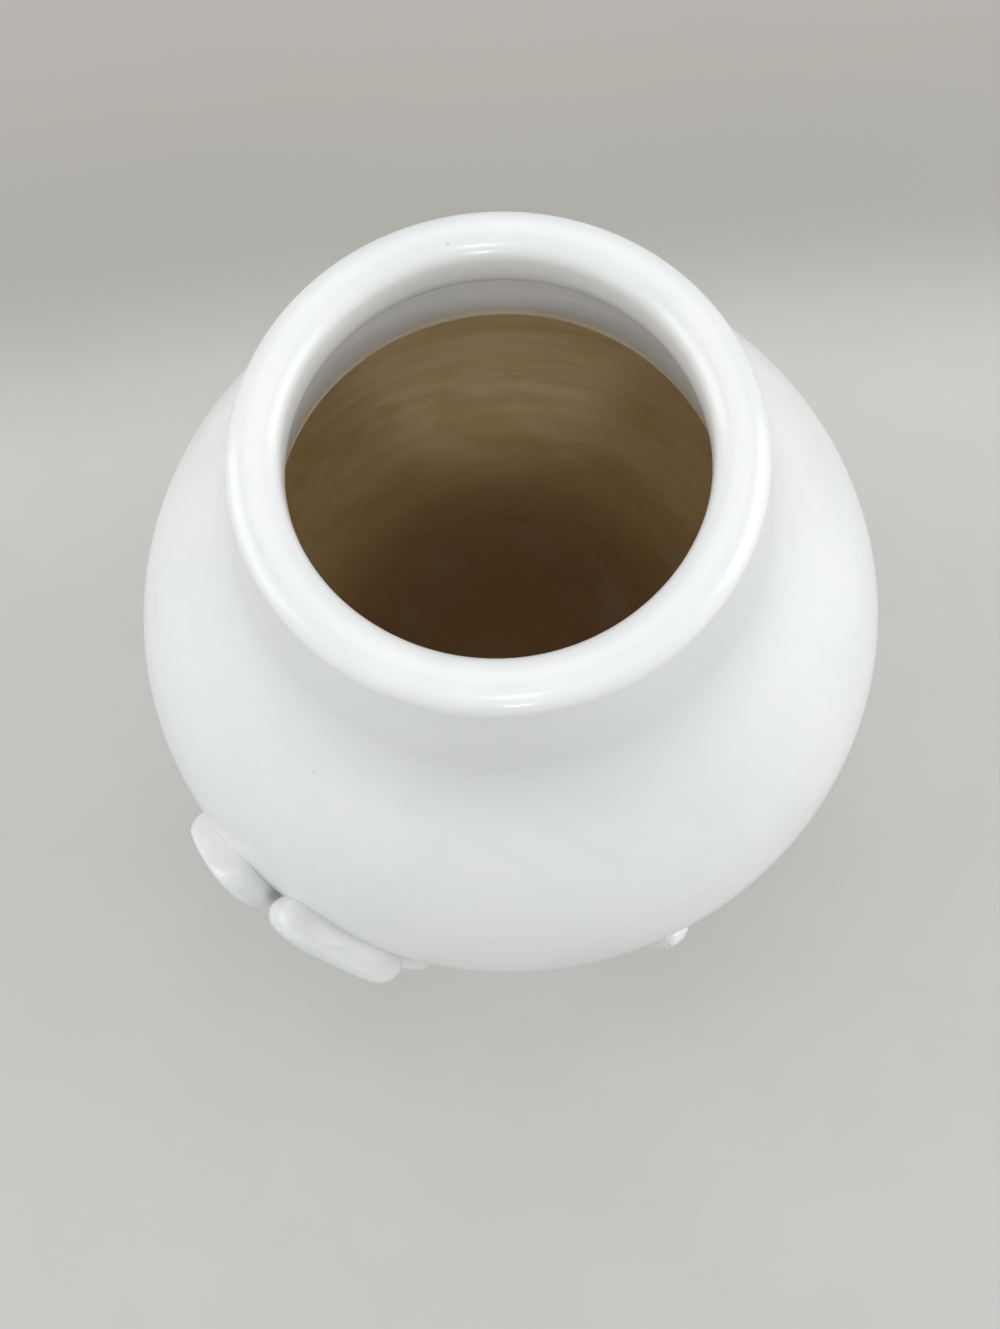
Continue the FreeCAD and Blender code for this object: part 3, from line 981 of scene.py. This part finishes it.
def makeStem(name, node, places, stem):
    values = stemValues
    halfWidth = stem["halfWidth"]
    fineness = halfWidth / branchValues["halfWidth"]
    bark, groove = values["bark"], values["groove"]
    count = len(places) - 1
    tables = [[(number / count, place[axis]) for number, place in enumerate(places)] for axis in (0, 1)]

    def point(share):
        return tuple(curveAt(table, share) for table in tables)

    def line(share):
        before = point(max(share - values["headingStep"], 0.0))
        after = point(min(share + values["headingStep"], 1.0))
        return point(share), math.atan2(after[1] - before[1], after[0] - before[0])

    def swell(share):
        return sum(size * bell(share - place, values["knotWidth"]) for place, size in stem["knots"])

    def width(share):
        start = math.sin(math.pi / 2 * min(share / values["roundStart"], 1.0))
        end = math.sin(math.pi / 2 * min((1 - share) / values["roundEnd"], 1.0))
        ripple = values["ripple"] * math.sin(values["rippleWaves"] * share)
        return halfWidth * max(start * end, 0.0) * (1 + values["knotSpread"] * swell(share) - ripple)

    def top(share, side):
        ends = between(values["fades"], share)
        high = acrossPad(halfWidth * values["rimShare"], halfWidth * values["crownShare"], side) * ends
        high -= values["sunk"] * (1 - ends)
        rough = math.prod(math.sin(across * side + along * share) for across, along in bark["waves"])
        turning = groove["across"] * side + groove["turn"] * math.sin(groove["along"] * share)
        cut = groove["depth"] * ridge(turning, groove["power"])
        knot = values["knotHeight"] * swell(share) * (1 - side * side)
        high += (fineness * (bark["size"] * rough - cut) + knot) * ends
        return high, values["thinCrown"] * (1 - abs(side))

    makePad(name, node, line, width, top, stem["segments"])


budPlaces = (0.0, 0.12, 0.34, 0.58, 0.80, 0.94, 1.0)
budValues = {
    "heading": math.radians(96.0),
    "length": 9.6,
    "halfWidth": 3.4,
    "rise": 3.5,
    "widths": tableOf(budPlaces, 0.0, 0.62, 0.98, 1.0, 0.70, 0.34, 0.0),
    "rises": tableOf(budPlaces, -0.3, 0.77, 0.98, 1.0, 0.82, 0.60, -0.3),
    "firstCrease": {"depth": 0.3, "reach": 0.62, "turn": 2.6, "shift": 0.04, "width": 0.07},
    "secondCrease": {"depth": 0.26, "reach": 0.55, "turn": 2.3, "width": 0.06, "fade": (0.25, 0.5)},
}
cupPlaces = (0.0, 0.15, 0.50, 0.85, 1.0)
cupValues = {
    "length": 4.6,
    "halfWidth": 2.7,
    "rise": 3.1,
    "widths": tableOf(cupPlaces, 0.0, 0.50, 0.92, 1.0, 0.0),
    "rises": tableOf(cupPlaces, -0.3, 0.60, 0.92, 1.0, -0.3),
    "ribDepth": 0.24,
    "ribTurn": 7.5,
    "ribPower": 4,
    "lipDepth": 0.12,
    "lipTurn": 5,
    "lipFade": (0.75, 0.95),
}
roundValues = {
    "rimShare": 0.6,
    "lowShare": 0.60,
    "fades": [(0.0, 0.1), (1.0, 0.92)],
    "thinEdge": 0.1,
    "segments": (72, 64),
}


# The overlapping edges of a closed bud's petals
def budCrease(share, side):
    first, second = budValues["firstCrease"], budValues["secondCrease"]
    firstPlace = first["reach"] * math.cos(first["turn"] * share) + first["shift"]
    secondPlace = -second["reach"] * math.sin(second["turn"] * share)
    secondDepth = second["depth"] * ease(*second["fade"], share)
    return (
        first["depth"] * bell(side - firstPlace, first["width"])
        + secondDepth * bell(side - secondPlace, second["width"])
    )


def cupCrease(share, side):
    ribs = ridge(cupValues["ribTurn"] * side, cupValues["ribPower"])
    lip = ease(*cupValues["lipFade"], share) * abs(math.sin(cupValues["lipTurn"] * side))
    return cupValues["ribDepth"] * ribs + cupValues["lipDepth"] * lip


# The bud or its cup: a low round pad with creases
def makeRound(name, node, base, values, crease):
    heading = budValues["heading"]

    def line(share):
        return stepped(base, heading, values["length"] * share), heading

    def width(share):
        return values["halfWidth"] * curveAt(values["widths"], share)

    def top(share, side):
        crown = values["rise"] * curveAt(values["rises"], share) * roundValues["lowShare"]
        high = acrossPad(crown * roundValues["rimShare"], crown, side)
        high -= crease(share, side) * between(roundValues["fades"], share)
        return high, roundValues["thinEdge"] * side * side

    makePad(name, node, line, width, top, roundValues["segments"])


centreValues = {
    "radius": 4.4,
    "rise": 4.3,
    "segments": (48, 72),
    "grains": [(5.0, 0.03), (11.0, 0.018)],
    "grainMost": 0.02,
    "size": 0.975,
    "dimpleDepth": 0.16,
    "dimpleWidth": 0.22,
    "bedDepth": 3.4,
    "thinGlazeAndShade": 0.12,
}
beadValues = {
    "count": 8,
    "radius": 1.0,
    "ring": 2.7,
    "segments": (18, 28),
    "inset": 0.04,
    "sink": 0.03,
    "thinGlazeAndShade": 0.18,
}


def makeCentre():
    values = centreValues
    base = onWall(*spray["middle"], 0.0)
    outward = (onWall(*spray["middle"], 1.0) - base).normalized()
    turn = outward.to_track_quat("Z", "Y").to_matrix().to_4x4()
    mesh, thinGlazeAndShade = newBall(values["segments"])
    for vert in mesh.verts:
        grain = sum(noise.noise(vert.co * scale) * depth for scale, depth in values["grains"])
        size = values["size"] + min(grain, values["grainMost"])
        flat = math.hypot(vert.co.x, vert.co.y)
        dimple = values["dimpleDepth"] * bell(flat, values["dimpleWidth"]) if vert.co.z > 0 else 0.0
        wide = values["radius"] * size
        high = (vert.co.z * size - dimple) * values["rise"]
        vert.co = Vector((vert.co.x * wide, vert.co.y * wide, high)) * mm
        vert[thinGlazeAndShade] = values["thinGlazeAndShade"]
    bmesh.ops.transform(mesh, matrix=Matrix.Translation(base) @ turn, verts=mesh.verts[:])
    bedRadius = (wall["bodyRadius"] - values["bedDepth"]) * mm
    buried = [vert for vert in mesh.verts if math.hypot(vert.co.x, vert.co.y) < bedRadius]
    bmesh.ops.delete(mesh, geom=buried, context="VERTS")
    bmesh.ops.holes_fill(mesh, edges=[edge for edge in mesh.edges if edge.is_boundary], sides=0)
    bmesh.ops.recalc_face_normals(mesh, faces=mesh.faces[:])
    addPiece("blossomCentre", mesh, "relief_glaze", "blossom_centre")


def makeBeads():
    values = beadValues
    lift = centreValues["rise"] * math.sqrt(1 - (values["ring"] / centreValues["radius"]) ** 2) - values["sink"]
    along, around = values["segments"]
    mesh = bmesh.new()
    thinGlazeAndShade = mesh.verts.layers.float.new("thinGlazeAndShade")
    for number in range(values["count"]):
        place = stepped(spray["middle"], number * fullTurn / values["count"], values["ring"])
        bmesh.ops.create_uvsphere(
            mesh,
            u_segments=around,
            v_segments=along,
            radius=(values["radius"] - values["inset"]) * mm,
            matrix=Matrix.Translation(onWall(*place, lift)),
        )
    for vert in mesh.verts:
        vert[thinGlazeAndShade] = values["thinGlazeAndShade"]
    addPiece("stamenBeads", mesh, "relief_glaze", "stamen_beads")


bloomLeaf = {"number": 4, "angle": math.radians(168.0), "rootShare": 0.82, "bowSide": 1}


def makeSpray():
    for number in range(petalValues["count"]):
        makePetal(number)
    makeCentre()
    makeBeads()
    rootReach = petalValues["length"] * branchValues["rootShare"]
    branchRoot = stepped(spray["middle"], branchValues["rootAngle"], rootReach)
    branchPlaces = routePlaces(branchRoot, branchValues["length"], branchValues["route"])
    twigPlaces = routePlaces(branchPlaces[twigValues["fork"]], twigValues["length"], twigValues["route"])
    makeStem("branch", "branch", branchPlaces, branchValues)
    makeStem("budTwig", "bud_twig", twigPlaces, twigValues)
    for number, (placeIndex, angle, bowSide) in enumerate(branchValues["leaves"]):
        makeLeaf(number + 1, branchPlaces[placeIndex], angle, bowSide)
    leafRoot = stepped(spray["middle"], bloomLeaf["angle"], petalValues["length"] * bloomLeaf["rootShare"])
    makeLeaf(bloomLeaf["number"], leafRoot, bloomLeaf["angle"], bloomLeaf["bowSide"])
    cupRoot = stepped(twigPlaces[-1], budValues["heading"], -cupValues["length"] / 2)
    makeRound("bud", "bud", twigPlaces[-1], budValues, budCrease)
    makeRound("budCalyx", "bud_calyx", cupRoot, cupValues, cupCrease)


makeSpray()
printStage("relief")


# Lengths are in metres from here on
floorValues = {
    "size": 3.0,
    "cells": 8,
    "near": (0.602, 0.605, 0.574),
    "far": (0.406, 0.394, 0.358),
    "last": (0.456, 0.423, 0.388),
    "mottle": (0.4, 0.39, 0.36),
    "farDepths": (0.060, 0.122),
    "lastDepths": (0.125, 0.20),
    "roughness": 0.7,
    "edge": {"noise": (7.0, 2.0, 0.5, 0.0), "wander": 0.02},
    "grain": {"noise": (40.0, 4.0, 0.6, 0.0), "band": (0.3, 0.7, 0.0, 0.06)},
    "fibre": {"noise": (900.0, 3.0, 0.6, 0.0), "bump": (0.15, 0.1)},
}


def floorMaterial():
    made, tree = newMaterial("floorPaper")
    values = floorValues
    place = placeNode(tree)
    depth = wavyNode(tree, partNode(tree, place, 1), place, values["edge"])
    farShare, lastShare = (rangeNode(tree, depth, *values[name]) for name in ("farDepths", "lastDepths"))
    tone = mixNode(tree, farShare, values["near"], values["far"])
    tone = mixNode(tree, lastShare, tone, values["last"])
    tone = mixNode(tree, bandNode(tree, place, values["grain"]), tone, values["mottle"])
    normal = roughNode(tree, place, values["fibre"])
    finishMaterial(tree, {"Base Color": tone, "Roughness": values["roughness"]}, normal)
    return made


def makeFloor():
    cells = floorValues["cells"]
    mesh = bmesh.new()
    bmesh.ops.create_grid(mesh, x_segments=cells, y_segments=cells, size=floorValues["size"] / 2)
    made = addMesh("floor", mesh, floorMaterial())


# Name, place, size, power and tint of each soft lamp
lampValues = [
    ("backLamp", (0.0, 0.50, 0.85), (0.9, 0.7), 2.11, (1.0, 0.99, 0.97)),
    ("rightLamp", (0.95, 0.06, 0.45), (0.8, 0.7), 4.97, (0.97, 0.985, 1.0)),
    ("leftLamp", (-0.95, 0.12, 0.45), (0.8, 0.7), 4.25, (0.97, 0.985, 1.0)),
]
lampTarget = (0.0, 0.0, 0.06)
# Name, place, target, power and cone of each spot lamp
spotValues = [
    ("neckLamp", (0.0, -0.403, 0.238), (0.0, 0.027, 0.106), 2.00, math.radians(8.0)),
    ("mouthLamp", (0.0, -0.260, 0.430), (0.0, 0.004, 0.100), 0.95, math.radians(15.0)),
]
spotSoftness = 0.04
spotBlend = 1.0
worldValues = {
    "frontLow": (0.411, 0.416, 0.424),
    "front": (1.111, 1.123, 1.146),
    "rest": (0.446, 0.451, 0.460),
    "frontAt": -0.85,
    "restAt": -0.1,
    "lowAt": 0.15,
    "highAt": 0.6,
}


def addLamp(data, place, target):
    made = addObject(data.name, data)
    way = Vector(target) - Vector(place)
    made.matrix_world = Matrix.Translation(place) @ way.to_track_quat("-Z", "Y").to_matrix().to_4x4()


def makeLamps():
    for name, place, size, energy, tint in lampValues:
        data = bpy.data.lights.new(name, "AREA")
        data.shape = "RECTANGLE"
        data.size, data.size_y = size
        data.energy, data.color = energy, tint
        addLamp(data, place, lampTarget)
    for name, place, target, energy, cone in spotValues:
        data = bpy.data.lights.new(name, "SPOT")
        data.energy, data.spot_size, data.spot_blend = energy, cone, spotBlend
        data.shadow_soft_size = spotSoftness
        addLamp(data, place, target)


# A plain room that is darker low down in front, where the photographer stands
def makeRoom():
    world = bpy.data.worlds.new("softRoom")
    world.use_nodes = True
    scene.world = world
    tree = world.node_tree
    way = addNode(tree, "TexCoord").outputs["Generated"]
    parts = addNode(tree, "SeparateXYZ", {0: way}).outputs
    raised = rangeNode(tree, parts[2], worldValues["lowAt"], worldValues["highAt"])
    front = mixNode(tree, raised, worldValues["frontLow"], worldValues["front"])
    share = rangeNode(tree, parts[1], worldValues["frontAt"], worldValues["restAt"])
    tone = mixNode(tree, share, front, worldValues["rest"])
    tree.links.new(tone, tree.nodes["Background"].inputs[0])


cameraValues = {
    "place": (0.0, -0.0529, 0.2179),
    "tilt": math.radians(75.29),
    "pan": math.radians(-2.85),
    "roll": math.radians(-7.08),
    "lens": 36.0,
    "sensor": 36.0,
    "clipStart": 0.01,
    "clipEnd": 20.0,
}


def makeCamera():
    values = cameraValues
    tilt, pan, roll = values["tilt"], values["pan"], values["roll"]
    ahead = Vector((math.sin(pan) * math.cos(tilt), math.cos(pan) * math.cos(tilt), -math.sin(tilt)))
    right = Vector((math.cos(pan), -math.sin(pan), 0.0))
    above = right.cross(ahead)
    cameraRight = right * math.cos(roll) + above * math.sin(roll)
    cameraUp = -right * math.sin(roll) + above * math.cos(roll)
    data = bpy.data.cameras.new("photoCamera")
    data.sensor_fit = "HORIZONTAL"
    data.lens, data.sensor_width = values["lens"], values["sensor"]
    data.clip_start, data.clip_end = values["clipStart"], values["clipEnd"]
    made = addObject("photoCamera", data)
    turn = Matrix((cameraRight, cameraUp, -ahead)).transposed().to_4x4()
    made.matrix_world = Matrix.Translation(values["place"]) @ turn
    scene.camera = made


makeFloor()
makeLamps()
makeRoom()
makeCamera()
scene.view_settings.view_transform = "Standard"
printStage("stage, lamps and camera")
